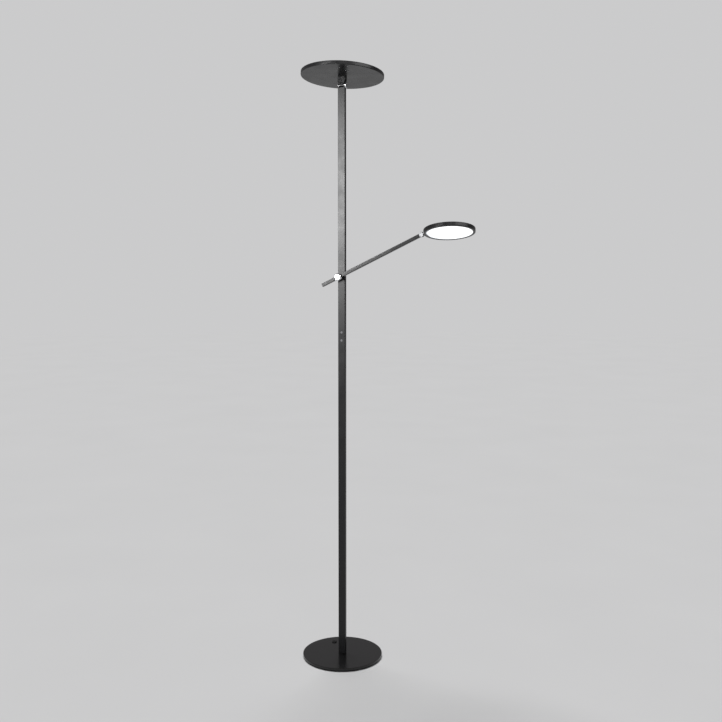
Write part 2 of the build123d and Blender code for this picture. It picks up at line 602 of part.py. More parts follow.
# The fork's body has the tube's own section, and its end is round about the head's hinge.
with BuildPart() as arm_end_fork:
    with BuildSketch(ARM_SECTION.offset(ARM_TUBE_END)):
        RectangleRounded(ARM_DEPTH, ARM_HEIGHT, ARM_CORNER)
    extrude(amount=ARM_REACH + ARM_HEIGHT - ARM_TUBE_END)
    with BuildSketch(ARM_SIDE):
        with Locations((ARM_REACH, 0)):
            Circle(ARM_HEIGHT / 2)
            Rectangle(ARM_REACH, ARM_HEIGHT, align=(Align.MAX, Align.CENTER))
    extrude(amount=ARM_DEPTH, both=True, mode=Mode.INTERSECT)
    with BuildSketch(ARM_SECTION.offset(FORK_SHANK_START)):
        Rectangle(ARM_PLUG_DEPTH, ARM_PLUG_HEIGHT)
    extrude(amount=ARM_TUBE_END - FORK_SHANK_START)
    with BuildSketch(ARM_SIDE):
        with Locations((ARM_REACH, 0)):
            Circle(KNUCKLE_RADIUS + FORK_CLEARANCE)
    extrude(amount=FORK_SLOT_HALF_WIDTH, both=True, mode=Mode.SUBTRACT)
    with BuildSketch(ARM_SIDE):
        with Locations((ARM_REACH, 0)):
            Circle(HEAD_PIN_RADIUS + FIT)
    extrude(amount=ARM_DEPTH, both=True, mode=Mode.SUBTRACT)
    with BuildSketch(ARM_SIDE):
        with Locations((ARM_SCREW_REACH, 0)):
            Circle(ARM_SCREW_RADIUS + FIT)
    extrude(amount=ARM_DEPTH, mode=Mode.SUBTRACT)

with BuildPart() as arm_end_screw:
    with BuildSketch(ARM_SIDE.offset(ARM_DEPTH / 2 - SEAM)):
        with Locations((ARM_SCREW_REACH, 0)):
            Circle(ARM_SCREW_RADIUS)
    extrude(amount=-ARM_SCREW_LENGTH)
    with BuildSketch(ARM_SIDE.offset(ARM_DEPTH / 2 - SEAM)):
        with Locations((ARM_SCREW_REACH, 0)):
            RegularPolygon(ARM_SCREW_RADIUS / 2, side_count=6)
    extrude(amount=-ARM_SCREW_RADIUS, mode=Mode.SUBTRACT)

# --- Joint of the reading head -------------------------------------------------------------

with BuildPart() as head_hinge_pin:
    with BuildSketch(KNUCKLE_SIDE.offset(-ARM_DEPTH / 2 - HEAD_NUT_THICKNESS)):
        Circle(HEAD_NUT_RADIUS)
    extrude(amount=HEAD_NUT_THICKNESS - SEAM)
    fillet(head_hinge_pin.faces().sort_by(Axis.Y)[-1].edges(), radius=EDGE)
    with BuildSketch(KNUCKLE_SIDE.offset(-ARM_DEPTH / 2 - SEAM)):
        Circle(HEAD_PIN_RADIUS)
    extrude(amount=ARM_DEPTH + 2 * SEAM + HEAD_CAP_SOCKET)

with BuildPart() as head_hinge_cap:
    with BuildSketch(KNUCKLE_SIDE.offset(ARM_DEPTH / 2 + SEAM)):
        Circle(HEAD_CAP_RADIUS)
    extrude(amount=HEAD_CAP_THICKNESS)
    chamfer(head_hinge_cap.faces().sort_by(Axis.Y)[0].edges(), length=EDGE)
    with BuildSketch(KNUCKLE_SIDE.offset(ARM_DEPTH / 2 + SEAM)):
        Circle(HEAD_PIN_RADIUS + FIT)
    extrude(amount=HEAD_CAP_SOCKET + SEAM, mode=Mode.SUBTRACT)

with BuildPart() as head_knuckle:
    with BuildSketch(KNUCKLE_SIDE):
        Circle(KNUCKLE_RADIUS)
    extrude(amount=KNUCKLE_HALF_WIDTH, both=True)
    chamfer(outer_rims(head_knuckle), length=FINE_EDGE)
    with BuildSketch(TWIST_SECTION):
        Circle(AXLE_RADIUS)
    extrude(amount=AXLE_REACH)
    with BuildSketch(TWIST_SECTION.offset(AXLE_GROOVE_START)):
        Circle(AXLE_RADIUS)
        Circle(AXLE_GROOVE_RADIUS, mode=Mode.SUBTRACT)
    extrude(amount=AXLE_GROOVE_WIDTH, mode=Mode.SUBTRACT)
    with BuildSketch(KNUCKLE_SIDE):
        Circle(HEAD_PIN_RADIUS + FIT)
    extrude(amount=KNUCKLE_RADIUS, both=True, mode=Mode.SUBTRACT)

with BuildPart() as twist_retaining_ring:
    with BuildSketch(TWIST_SECTION.offset(AXLE_GROOVE_START + SEAM)):
        Circle(RETAINING_RING_RADIUS)
        Circle(AXLE_GROOVE_RADIUS + FIT, mode=Mode.SUBTRACT)
    extrude(amount=AXLE_GROOVE_WIDTH - 2 * SEAM)

# --- Reading head --------------------------------------------------------------------------

with BuildPart() as reading_housing:
    with BuildSketch(HEAD_FLAT.offset(-HEAD_HALF)):
        Circle(HEAD_RADIUS)
    extrude(amount=2 * HEAD_HALF)
    fillet(outer_rims(reading_housing), radius=SHELL_EDGE)
    with BuildSketch(HEAD_FLAT.offset(-HEAD_HALF)):
        Circle(HEAD_INNER_RADIUS)
    extrude(amount=2 * HEAD_HALF - HEAD_SKIN, mode=Mode.SUBTRACT)
    with BuildSketch(TWIST_SECTION):
        Circle(AXLE_RADIUS + AXLE_CLEARANCE)
    extrude(amount=AXLE_REACH, mode=Mode.SUBTRACT)
    with BuildSketch(HEAD_FLAT.offset(HEAD_BOARD_TOP)):
        with PolarLocations(READING_SCREW_CIRCLE, READING_SCREW_COUNT):
            Circle(BOARD_SCREW_RADIUS + FIT)
    extrude(amount=BOARD_SCREW_BITE + SEAM, mode=Mode.SUBTRACT)

with BuildPart() as twist_bearing:
    with BuildSketch(HEAD_FLAT.offset(BEARING_BOTTOM)):
        with Locations((BEARING_START - HEAD_CENTRE_REACH, 0)):
            Rectangle(BEARING_LENGTH, BEARING_WIDTH, align=(Align.MIN, Align.CENTER))
    extrude(amount=HEAD_HALF - HEAD_SKIN - SEAM - BEARING_BOTTOM)
    with BuildSketch(TWIST_SECTION):
        Circle(AXLE_RADIUS + FIT)
    extrude(amount=2 * AXLE_REACH, mode=Mode.SUBTRACT)

with BuildPart() as reading_led_board:
    with BuildSketch(HEAD_FLAT.offset(HEAD_BOARD_TOP)):
        Circle(HEAD_INNER_RADIUS - 3 * FIT)
        with Locations((-HEAD_BOARD_CHORD, 0)):
            Rectangle(
                HEAD_RADIUS,
                2 * HEAD_RADIUS,
                align=(Align.MAX, Align.CENTER),
                mode=Mode.SUBTRACT,
            )
        with PolarLocations(READING_SCREW_CIRCLE, READING_SCREW_COUNT):
            Circle(BOARD_SCREW_RADIUS + FIT, mode=Mode.SUBTRACT)
    extrude(amount=HEAD_BOARD_BOTTOM - HEAD_BOARD_TOP)

with BuildPart() as reading_leds:
    with BuildSketch(HEAD_FLAT.offset(HEAD_BOARD_BOTTOM)):
        for radius, count in READING_LED_RINGS.items():
            with PolarLocations(radius, count):
                Rectangle(LED_SIZE, LED_SIZE)
    extrude(amount=-LED_HEIGHT)

with BuildPart() as reading_board_screws:
    with BuildSketch(HEAD_FLAT.offset(HEAD_BOARD_BOTTOM - SEAM)):
        with PolarLocations(READING_SCREW_CIRCLE, READING_SCREW_COUNT):
            Circle(BOARD_SCREW_HEAD_RADIUS)
    extrude(amount=-BOARD_SCREW_HEAD)
    with BuildSketch(HEAD_FLAT.offset(HEAD_BOARD_BOTTOM - SEAM)):
        with PolarLocations(READING_SCREW_CIRCLE, READING_SCREW_COUNT):
            Circle(BOARD_SCREW_RADIUS)
    extrude(amount=LED_BOARD_THICKNESS + BOARD_SCREW_BITE)

with BuildPart() as reading_reflector:
    with BuildSketch(HEAD_FLAT.offset(HEAD_BOARD_BOTTOM - SEAM)):
        Circle(HEAD_INNER_RADIUS - 3 * FIT)
        Circle(REFLECTOR_RADIUS, mode=Mode.SUBTRACT)
        with Locations((-HEAD_BOARD_CHORD, 0)):
            Rectangle(
                HEAD_RADIUS,
                REFLECTOR_NOTCH_WIDTH,
                align=(Align.MAX, Align.CENTER),
                mode=Mode.SUBTRACT,
            )
    extrude(amount=HEAD_DIFFUSER_TOP - HEAD_BOARD_BOTTOM + 2 * SEAM)

with BuildPart() as reading_diffuser:
    with BuildSketch(HEAD_FLAT.offset(HEAD_DIFFUSER_TOP)):
        Circle(HEAD_DIFFUSER_RADIUS)
        with Locations((-HEAD_CHORD, 0)):
            Rectangle(
                HEAD_RADIUS,
                2 * HEAD_RADIUS,
                align=(Align.MAX, Align.CENTER),
                mode=Mode.SUBTRACT,
            )
    extrude(amount=-DIFFUSER_THICKNESS)

with BuildPart() as reading_bezel:
    with BuildSketch(HEAD_FLAT.offset(-HEAD_HALF)):
        Circle(HEAD_PLUG_RADIUS)
        Circle(HEAD_DIFFUSER_RADIUS + FIT, mode=Mode.SUBTRACT)
        with Locations((-HEAD_BOARD_CHORD, 0)):
            Rectangle(
                HEAD_RADIUS,
                REFLECTOR_NOTCH_WIDTH,
                align=(Align.MAX, Align.CENTER),
                mode=Mode.SUBTRACT,
            )
    extrude(amount=HEAD_HALF + HEAD_DIFFUSER_TOP)
    with BuildSketch(HEAD_FLAT.offset(-HEAD_HALF)):
        Circle(HEAD_PLUG_RADIUS)
        Circle(HEAD_WINDOW_RADIUS, mode=Mode.SUBTRACT)
    extrude(amount=HEAD_LIP)
    chamfer(inner_rims(reading_bezel), length=FINE_EDGE)

with BuildPart() as reading_joint_cover:
    with BuildSketch(HEAD_FLAT.offset(-HEAD_HALF)):
        Circle(HEAD_WINDOW_RADIUS - FIT)
        with Locations((-HEAD_CHORD - SEAM, 0)):
            Rectangle(
                2 * HEAD_RADIUS,
                2 * HEAD_RADIUS,
                align=(Align.MIN, Align.CENTER),
                mode=Mode.SUBTRACT,
            )
    extrude(amount=HEAD_COVER_THICKNESS)

# --- Uplight hinge -------------------------------------------------------------------------

with BuildPart() as pole_top_fork:
    with BuildSketch(Plane.XY.offset(POLE_TOP)):
        RectangleRounded(POLE_WIDTH, POLE_DEPTH, POLE_CORNER)
    extrude(amount=HINGE_HEIGHT + POLE_DEPTH - POLE_TOP)
    with BuildSketch(POLE_SIDE):
        Circle(FORK_RADIUS)
        Rectangle(POLE_DEPTH, FORK_SHANK, align=(Align.CENTER, Align.MAX))
    extrude(amount=POLE_WIDTH, both=True, mode=Mode.INTERSECT)
    with BuildSketch(Plane.XY.offset(POLE_TOP - FORK_SHANK)):
        Rectangle(PLUG_WIDTH, PLUG_DEPTH)
    extrude(amount=FORK_SHANK)
    with BuildSketch(POLE_SIDE):
        with Locations((0, -FORK_SLOT_DEPTH)):
            Rectangle(2 * POLE_DEPTH, 2 * POLE_DEPTH, align=(Align.CENTER, Align.MIN))
    extrude(amount=CHEEK_INNER, both=True, mode=Mode.SUBTRACT)
    with BuildSketch(POLE_SIDE):
        Circle(HINGE_PIN_RADIUS + FIT)
    extrude(amount=POLE_WIDTH, both=True, mode=Mode.SUBTRACT)
    with BuildSketch(Plane.XY.offset(POLE_TOP - FORK_SHANK)):
        SlotOverall(LEAD_SLOT_WIDTH, LEAD_SLOT_DEPTH)
    extrude(amount=2 * FORK_SHANK, mode=Mode.SUBTRACT)
    for height in TOP_SCREW_HEIGHTS:
        with BuildSketch(facing_front(height, 0)):
            Circle(TOP_SCREW_RADIUS + FIT)
        extrude(amount=-POLE_DEPTH, mode=Mode.SUBTRACT)

with BuildPart() as top_fork_screws:
    for height in TOP_SCREW_HEIGHTS:
        with BuildSketch(facing_front(height, POLE_BACK - SEAM)):
            Circle(TOP_SCREW_RADIUS)
        extrude(amount=TOP_SCREW_LENGTH)
        with BuildSketch(facing_front(height, POLE_BACK - SEAM)):
            RegularPolygon(TOP_SCREW_RADIUS / 2, side_count=6)
        extrude(amount=TOP_SCREW_LENGTH / 2, mode=Mode.SUBTRACT)

with BuildPart() as uplight_hinge_pins:
    for side in BOTH_SIDES:
        outward = Plane(origin=HINGE, x_dir=(0, 1, 0), z_dir=(side, 0, 0))
        with BuildSketch(outward.offset(POLE_WIDTH / 2 + SEAM)):
            Circle(HINGE_PIN_HEAD_RADIUS)
        extrude(amount=HINGE_PIN_HEAD)
        with BuildSketch(outward.offset(HINGE_PIN_INNER)):
            Circle(HINGE_PIN_RADIUS)
        extrude(amount=POLE_WIDTH / 2 + SEAM - HINGE_PIN_INNER)
    end_faces = uplight_hinge_pins.faces().sort_by(Axis.X)
    fillet(end_faces[0].edges() + end_faces[-1].edges(), radius=EDGE)

with BuildPart() as uplight_hinge_washers:
    for side in BOTH_SIDES:
        outward = Plane(origin=HINGE, x_dir=(0, 1, 0), z_dir=(side, 0, 0))
        with BuildSketch(outward.offset(TONGUE_HALF_WIDTH + SEAM)):
            Circle(TONGUE_RADIUS)
            Circle(HINGE_PIN_RADIUS + FIT, mode=Mode.SUBTRACT)
        extrude(amount=CHEEK_INNER - TONGUE_HALF_WIDTH - 2 * SEAM)

with BuildPart() as uplight_side_cap:
    with BuildSketch(POLE_SIDE.offset(SIDE_CAP_INNER)):
        Circle(SIDE_CAP_RADIUS)
    extrude(amount=SIDE_CAP_OUTER - SIDE_CAP_INNER)
    fillet(outer_rims(uplight_side_cap), radius=EDGE)
    with BuildSketch(POLE_SIDE.offset(POLE_WIDTH / 2 + SEAM)):
        Circle(SIDE_CAP_BOSS_RADIUS)
    extrude(amount=SIDE_CAP_INNER - POLE_WIDTH / 2 - SEAM)
    with BuildSketch(POLE_SIDE.offset(POLE_WIDTH / 2 + SEAM)):
        Circle(HINGE_PIN_HEAD_RADIUS + FIT)
    extrude(amount=HINGE_PIN_HEAD + SEAM, mode=Mode.SUBTRACT)

# --- Uplight head --------------------------------------------------------------------------

neck_screw_places = [(NECK_SCREW_X * side, 0) for side in BOTH_SIDES]

with BuildPart() as uplight_neck:
    with BuildSketch(UPLIGHT_FLAT.offset(NECK_BOTTOM)):
        RectangleRounded(NECK_WIDTH, NECK_DEPTH, POLE_CORNER)
    extrude(amount=NECK_TOP - NECK_BOTTOM)
    chamfer(uplight_neck.faces().sort_by(UPLIGHT_AXIS)[0].edges(), length=FINE_EDGE)
    with BuildSketch(UPLIGHT_SIDE):
        Circle(TONGUE_RADIUS)
        Rectangle(2 * TONGUE_RADIUS, 2 * NECK_BOTTOM, align=(Align.CENTER, Align.MIN))
    extrude(amount=TONGUE_HALF_WIDTH, both=True)
    with BuildSketch(UPLIGHT_SIDE):
        Circle(HINGE_PIN_RADIUS + FIT)
    extrude(amount=NECK_WIDTH, both=True, mode=Mode.SUBTRACT)
    with BuildSketch(UPLIGHT_FLAT.offset(NECK_TOP)):
        Circle(NECK_BORE_RADIUS)
    extrude(amount=-2 * NECK_TOP, mode=Mode.SUBTRACT)
    with BuildSketch(UPLIGHT_FLAT.offset(NECK_TOP)):
        with Locations(*neck_screw_places):
            Circle(NECK_SCREW_RADIUS + FIT)
    extrude(amount=-NECK_SCREW_BITE - SEAM, mode=Mode.SUBTRACT)

with BuildPart() as uplight_housing:
    with BuildSketch(UPLIGHT_FLAT.offset(NECK_TOP)):
        Circle(UPLIGHT_RADIUS)
    extrude(amount=UPLIGHT_THICKNESS)
    fillet(outer_rims(uplight_housing), radius=SHELL_EDGE)
    with BuildSketch(UPLIGHT_FLAT.offset(UPLIGHT_FLOOR)):
        Circle(UPLIGHT_INNER_RADIUS)
    extrude(amount=UPLIGHT_THICKNESS, mode=Mode.SUBTRACT)
    with BuildSketch(UPLIGHT_FLAT.offset(NECK_TOP)):
        Circle(NECK_BORE_RADIUS)
        with Locations(*neck_screw_places):
            Circle(NECK_SCREW_RADIUS + FIT)
    extrude(amount=UPLIGHT_WALL, mode=Mode.SUBTRACT)
    with BuildSketch(UPLIGHT_FLAT.offset(UPLIGHT_FLOOR)):
        with Locations(*neck_screw_places):
            Circle(NECK_SINK_RADIUS)
    extrude(amount=NECK_SCREW_RADIUS - NECK_SINK_RADIUS, taper=SINK_TAPER, mode=Mode.SUBTRACT)
    with BuildSketch(UPLIGHT_FLAT.offset(UPLIGHT_FLOOR)):
        with PolarLocations(UPLIGHT_SCREW_CIRCLE, UPLIGHT_SCREW_COUNT):
            Circle(BOARD_SCREW_RADIUS + FIT)
    extrude(amount=-BOARD_SCREW_BITE - SEAM, mode=Mode.SUBTRACT)

with BuildPart() as uplight_neck_screws:
    with BuildSketch(UPLIGHT_FLAT.offset(UPLIGHT_FLOOR - SEAM)):
        with Locations(*neck_screw_places):
            Circle(NECK_SCREW_RADIUS)
    extrude(amount=SEAM - UPLIGHT_WALL - NECK_SCREW_BITE)
    with BuildSketch(UPLIGHT_FLAT.offset(UPLIGHT_FLOOR - SEAM)):
        with Locations(*neck_screw_places):
            Circle(NECK_SINK_RADIUS - 2 * FIT)
    extrude(amount=NECK_SCREW_RADIUS - NECK_SINK_RADIUS + 2 * FIT, taper=SINK_TAPER)
    with BuildSketch(UPLIGHT_FLAT.offset(UPLIGHT_FLOOR - SEAM)):
        with Locations(*neck_screw_places):
            RegularPolygon(NECK_SOCKET_RADIUS, side_count=6)
    extrude(amount=-NECK_SOCKET_DEPTH, mode=Mode.SUBTRACT)

with BuildPart() as uplight_led_board:
    with BuildSketch(UPLIGHT_FLAT.offset(UPLIGHT_BOARD_BOTTOM)):
        Circle(UPLIGHT_BOARD_RADIUS)
        Circle(UPLIGHT_BOARD_HOLE, mode=Mode.SUBTRACT)
        with PolarLocations(UPLIGHT_SCREW_CIRCLE, UPLIGHT_SCREW_COUNT):
            Circle(BOARD_SCREW_RADIUS + FIT, mode=Mode.SUBTRACT)
    extrude(amount=LED_BOARD_THICKNESS)

with BuildPart() as uplight_leds:
    with BuildSketch(UPLIGHT_FLAT.offset(UPLIGHT_BOARD_TOP)):
        for radius, count in UPLIGHT_LED_RINGS.items():
            with PolarLocations(radius, count):
                Rectangle(LED_SIZE, LED_SIZE)
    extrude(amount=LED_HEIGHT)

with BuildPart() as uplight_board_screws:
    with BuildSketch(UPLIGHT_FLAT.offset(UPLIGHT_BOARD_TOP + SEAM)):
        with PolarLocations(UPLIGHT_SCREW_CIRCLE, UPLIGHT_SCREW_COUNT):
            Circle(BOARD_SCREW_HEAD_RADIUS)
    extrude(amount=BOARD_SCREW_HEAD)
    with BuildSketch(UPLIGHT_FLAT.offset(UPLIGHT_BOARD_TOP + SEAM)):
        with PolarLocations(UPLIGHT_SCREW_CIRCLE, UPLIGHT_SCREW_COUNT):
            Circle(BOARD_SCREW_RADIUS)
    extrude(amount=-LED_BOARD_THICKNESS - BOARD_SCREW_BITE)

with BuildPart() as uplight_reflector:
    with BuildSketch(UPLIGHT_FRONT):
        with BuildLine():
            Polyline(
                (UPLIGHT_REFLECTOR_RADIUS, UPLIGHT_BOARD_BOTTOM),
                (UPLIGHT_PLUG_RADIUS, UPLIGHT_BOARD_BOTTOM),
                (UPLIGHT_PLUG_RADIUS, UPLIGHT_REFLECTOR_TOP),
                (UPLIGHT_WINDOW_RADIUS, UPLIGHT_REFLECTOR_TOP),
                close=True,
            )
        make_face()
    revolve(axis=UPLIGHT_AXIS)

with BuildPart() as uplight_diffuser:
    with BuildSketch(UPLIGHT_FLAT.offset(UPLIGHT_DIFFUSER_TOP)):
        Circle(UPLIGHT_PLUG_RADIUS)
    extrude(amount=-DIFFUSER_THICKNESS)

with BuildPart() as uplight_bezel:
    with BuildSketch(UPLIGHT_FLAT.offset(UPLIGHT_BEZEL_BOTTOM)):
        Circle(UPLIGHT_PLUG_RADIUS)
        Circle(UPLIGHT_WINDOW_RADIUS, mode=Mode.SUBTRACT)
    extrude(amount=UPLIGHT_BEZEL_THICKNESS)
    chamfer(inner_rims(uplight_bezel), length=FINE_EDGE)

# --- One STEP file for each sub-part -------------------------------------------------------

PIECES = {
    "base_pad": base_pad,
    "base_plate": base_plate,
    "base_screws": base_screws,
    "cable_gland": cable_gland,
    "supply_cable": supply_cable,
    "pole_foot_block": pole_foot_block,
    "pole_tube": pole_tube,
    "button_guide": button_guide,
    "dimmer_board": dimmer_board,
    "board_components": board_components,
    "board_switches": board_switches,
    **buttons,
    "uplight_lead": uplight_lead,
    "arm_feed_lead": arm_feed_lead,
    "arm_pivot_block": arm_pivot_block,
    "arm_pivot_bolt": arm_pivot_bolt,
    "arm_spacer": arm_spacer,
    "arm_washers": arm_washers,
    "arm_pivot_knob": arm_pivot_knob,
    "arm_tube": arm_tube,
    "arm_tail_cap": arm_tail_cap,
    "arm_pivot_bush": arm_pivot_bush,
    "arm_lead": arm_lead,
    "arm_end_fork": arm_end_fork,
    "arm_end_screw": arm_end_screw,
    "head_hinge_pin": head_hinge_pin,
    "head_hinge_cap": head_hinge_cap,
    "head_knuckle": head_knuckle,
    "twist_retaining_ring": twist_retaining_ring,
    "reading_housing": reading_housing,
    "twist_bearing": twist_bearing,
    "reading_led_board": reading_led_board,
    "reading_leds": reading_leds,
    "reading_board_screws": reading_board_screws,
    "reading_reflector": reading_reflector,
    "reading_diffuser": reading_diffuser,
    "reading_bezel": reading_bezel,
    "reading_joint_cover": reading_joint_cover,
    "pole_top_fork": pole_top_fork,
    "top_fork_screws": top_fork_screws,
    "uplight_hinge_pins": uplight_hinge_pins,
    "uplight_hinge_washers": uplight_hinge_washers,
    "uplight_side_cap": uplight_side_cap,
    "uplight_neck": uplight_neck,
    "uplight_neck_screws": uplight_neck_screws,
    "uplight_housing": uplight_housing,
    "uplight_led_board": uplight_led_board,
    "uplight_leds": uplight_leds,
    "uplight_board_screws": uplight_board_screws,
    "uplight_reflector": uplight_reflector,
    "uplight_diffuser": uplight_diffuser,
    "uplight_bezel": uplight_bezel,
}

os.makedirs("parts", exist_ok=True)
for name, piece in PIECES.items():
    piece.part.label = name
    export_step(piece.part, f"parts/{name}.step")
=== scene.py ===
import json
from math import cos, radians, sin, tau

import bpy
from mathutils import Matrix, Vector


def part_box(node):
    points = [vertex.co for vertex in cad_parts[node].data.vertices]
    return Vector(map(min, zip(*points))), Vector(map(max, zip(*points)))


# The looks of a slim floor lamp: textured black paint on its base, pole, arm and heads, chrome
# caps at its joints, and opal diffusers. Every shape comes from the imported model.

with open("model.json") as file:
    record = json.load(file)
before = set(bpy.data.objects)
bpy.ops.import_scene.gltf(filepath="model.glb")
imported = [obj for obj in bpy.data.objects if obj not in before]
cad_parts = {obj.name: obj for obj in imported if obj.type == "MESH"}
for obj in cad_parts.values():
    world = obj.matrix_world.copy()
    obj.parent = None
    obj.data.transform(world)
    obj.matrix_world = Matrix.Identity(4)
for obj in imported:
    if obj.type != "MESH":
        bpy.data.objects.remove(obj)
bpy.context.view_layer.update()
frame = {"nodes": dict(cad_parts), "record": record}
nodes = frame["nodes"]
record = frame["record"]

MM = 0.001
NOISE_LOW, NOISE_HIGH = 0.3, 0.7  # a noise's values seldom lie outside these
WAVE_LENGTH = tau / 20  # how far apart a wave texture's rings lie at scale 1


# --- Helpers for materials ------------------------------------------------------------------


def add(tree, kind, inputs=(), **settings):
    """A shader node, with its settings, and with its inputs set to values or linked to sockets."""
    made = tree.nodes.new("ShaderNode" + kind)
    for name, value in settings.items():
        setattr(made, name, value)
    for name, value in dict(inputs).items():
        if isinstance(value, bpy.types.NodeSocket):
            tree.links.new(value, made.inputs[name])
        else:
            made.inputs[name].default_value = value
    return made


def ramp(tree, factor, stops):
    """A colour that follows a factor through stops of (place, colour)."""
    made = add(tree, "ValToRGB", {"Fac": factor})
    elements = made.color_ramp.elements
    while len(elements) < len(stops):
        elements.new(1.0)
    for element, (place, colour) in zip(elements, stops):
        element.position = place
        element.color = (*colour, 1.0)
    return made.outputs["Color"]


def blend(tree, factor, first, last, low=NOISE_LOW, high=NOISE_HIGH):
    """A colour that goes from the first to the last as a factor goes from low to high."""
    return ramp(tree, factor, [(low, first), (high, last)])


def between(tree, factor, first, last):
    """A number from the first to the last as a noise goes through the middle of its range."""
    values = {
        "Value": factor,
        "From Min": NOISE_LOW,
        "From Max": NOISE_HIGH,
        "To Min": first,
        "To Max": last,
    }
    return add(tree, "MapRange", values).outputs["Result"]


def noise(tree, place, size, detail=2.0):
    """Cloudy noise whose blobs are about this size, in metres."""
    values = {"Vector": place, "Scale": 1.0 / size, "Detail": detail}
    return add(tree, "TexNoise", values).outputs["Fac"]


def bump(tree, height, depth, under=None):
    """The surface raised by up to depth metres, over another bump if there is one."""
    values = {"Height": height, "Distance": depth, "Strength": 1.0}
    if under is not None:
        values["Normal"] = under
    return add(tree, "Bump", values).outputs["Normal"]


def begin(name):
    """A new material, its node tree, and the place on the object that its patterns start from."""
    material = bpy.data.materials.new(name)
    material.use_nodes = True
    tree = material.node_tree
    tree.nodes.clear()
    place = add(tree, "TexCoord").outputs["Object"]
    return material, tree, place


def end(material, tree, values):
    """Closes the material with its surface shader."""
    shader = add(tree, "BsdfPrincipled", values)
    output = add(tree, "OutputMaterial")
    tree.links.new(shader.outputs["BSDF"], output.inputs["Surface"])
    return material


def shade(colour, share):
    return tuple(channel * share for channel in colour)


def round_about(tree, place, centre, axis):
    """The place measured from a centre, with the axis laid along Z."""
    turn = Vector(axis).rotation_difference(Vector((0, 0, 1))).to_euler()
    moved = add(tree, "VectorMath", {0: place, 1: centre}, operation="SUBTRACT")
    turned = add(tree, "Mapping", {"Vector": moved.outputs["Vector"], "Rotation": turn})
    return turned.outputs["Vector"]


# --- Materials ------------------------------------------------------------------------------


def textured_paint(name, roughness, gloss, depth):
    """Black powder coating: a fine sandy grain, depth high, over a slight orange peel."""
    material, tree, place = begin(name)
    cloud = noise(tree, place, 40 * MM, 3.0)
    fine = noise(tree, place, PAINT_GRAIN, 1.0)
    peel = noise(tree, place, 3 * MM, 1.0)
    specks = noise(tree, place, 2 * PAINT_GRAIN, 4.0)
    return end(material, tree, {
        "Base Color": blend(tree, specks, shade(PAINT, 0.75), shade(PAINT, 1.3)),
        "Roughness": between(tree, cloud, roughness - 0.04, roughness + 0.04),
        "Normal": bump(tree, fine, depth, bump(tree, peel, 0.6 * depth)),
        "IOR": 1.5,
        "Specular IOR Level": gloss,
    })


def turned_metal(name, colour, roughness, node, axis, pitch):
    """Metal turned on a lathe about a node's middle, with fine rings and faint smudges."""
    material, tree, place = begin(name)
    values = {
        "Vector": round_about(tree, place, middle(node), axis),
        "Scale": WAVE_LENGTH / pitch,
        "Distortion": 0.6,
        "Detail": 2.0,
    }
    rings = add(tree, "TexWave", values, wave_type="RINGS", rings_direction="Z").outputs["Fac"]
    smudge = noise(tree, place, 6 * MM, 4.0)
    return end(material, tree, {
        "Base Color": blend(tree, smudge, shade(colour, 0.93), colour, 0.35, 0.65),
        "Metallic": 1.0,
        "Roughness": between(tree, smudge, roughness, 1.5 * roughness),
        "Normal": bump(tree, rings, 0.004 * MM),
    })


def machined_steel(name, colour, roughness):
    """Machined steel, as on screws, pins and washers, with a clouded finish and fine scratches."""
    material, tree, place = begin(name)
    cloud = noise(tree, place, 3 * MM, 4.0)
    scratches = noise(tree, place, 0.25 * MM, 2.0)
    return end(material, tree, {
        "Base Color": blend(tree, cloud, shade(colour, 0.85), colour),
        "Metallic": 1.0,
        "Roughness": between(tree, cloud, roughness - 0.06, roughness + 0.08),
        "Normal": bump(tree, scratches, 0.006 * MM),
    })


def moulded_plastic(name, colour, roughness):
    """Injection-moulded plastic with the fine grain of a spark-eroded mould."""
    material, tree, place = begin(name)
    cloud = noise(tree, place, 12 * MM, 3.0)
    grain = noise(tree, place, 0.3 * MM, 2.0)
    return end(material, tree, {
        "Base Color": blend(tree, cloud, shade(colour, 0.94), shade(colour, 1.05)),
        "Roughness": between(tree, cloud, roughness - 0.04, roughness + 0.05),
        "Normal": bump(tree, grain, 0.015 * MM),
        "IOR": 1.48,
    })


def rubber(name, colour):
    """Soft black rubber with a dusty bloom."""
    material, tree, place = begin(name)
    dust = noise(tree, place, 5 * MM, 5.0)
    grain = noise(tree, place, 0.5 * MM, 2.0)
    return end(material, tree, {
        "Base Color": blend(tree, dust, colour, shade(colour, 1.8), 0.35, 0.75),
        "Roughness": between(tree, dust, 0.62, 0.8),
        "Normal": bump(tree, grain, 0.03 * MM),
        "Specular IOR Level": 0.2,
    })


def opal(name, colour, node, radius, glow, strength):
    """An opal acrylic diffuser, whose glow follows stops from its middle to its rim."""
    material, tree, place = begin(name)
    reach = add(tree, "VectorMath", {0: place, 1: middle(node)}, operation="DISTANCE")
    share = add(tree, "Math", {0: reach.outputs["Value"], 1: radius}, operation="DIVIDE")
    cloud = noise(tree, place, 15 * MM, 2.0)
    grain = noise(tree, place, 0.4 * MM, 1.0)
    return end(material, tree, {
        "Base Color": blend(tree, cloud, shade(colour, 0.98), colour),
        "Roughness": between(tree, cloud, 0.3, 0.38),
        "Normal": bump(tree, grain, 0.008 * MM),
        "Emission Color": ramp(tree, share.outputs["Value"], glow),
        "Emission Strength": strength,
        "IOR": 1.49,
    })


def printed_board(name, colour, track):
    """A circuit board's lacquer, with tracks that show faintly through it."""
    material, tree, place = begin(name)
    bricks = add(tree, "TexBrick", {"Vector": place, "Scale": 1 / (8 * MM), "Mortar Size": 0.03})
    tracks = bricks.outputs["Fac"]
    cloud = noise(tree, place, 4 * MM, 2.0)
    return end(material, tree, {
        "Base Color": blend(tree, tracks, colour, track, 0.2, 0.8),
        "Roughness": between(tree, cloud, 0.32, 0.42),
        "Normal": bump(tree, tracks, 0.03 * MM),
    })


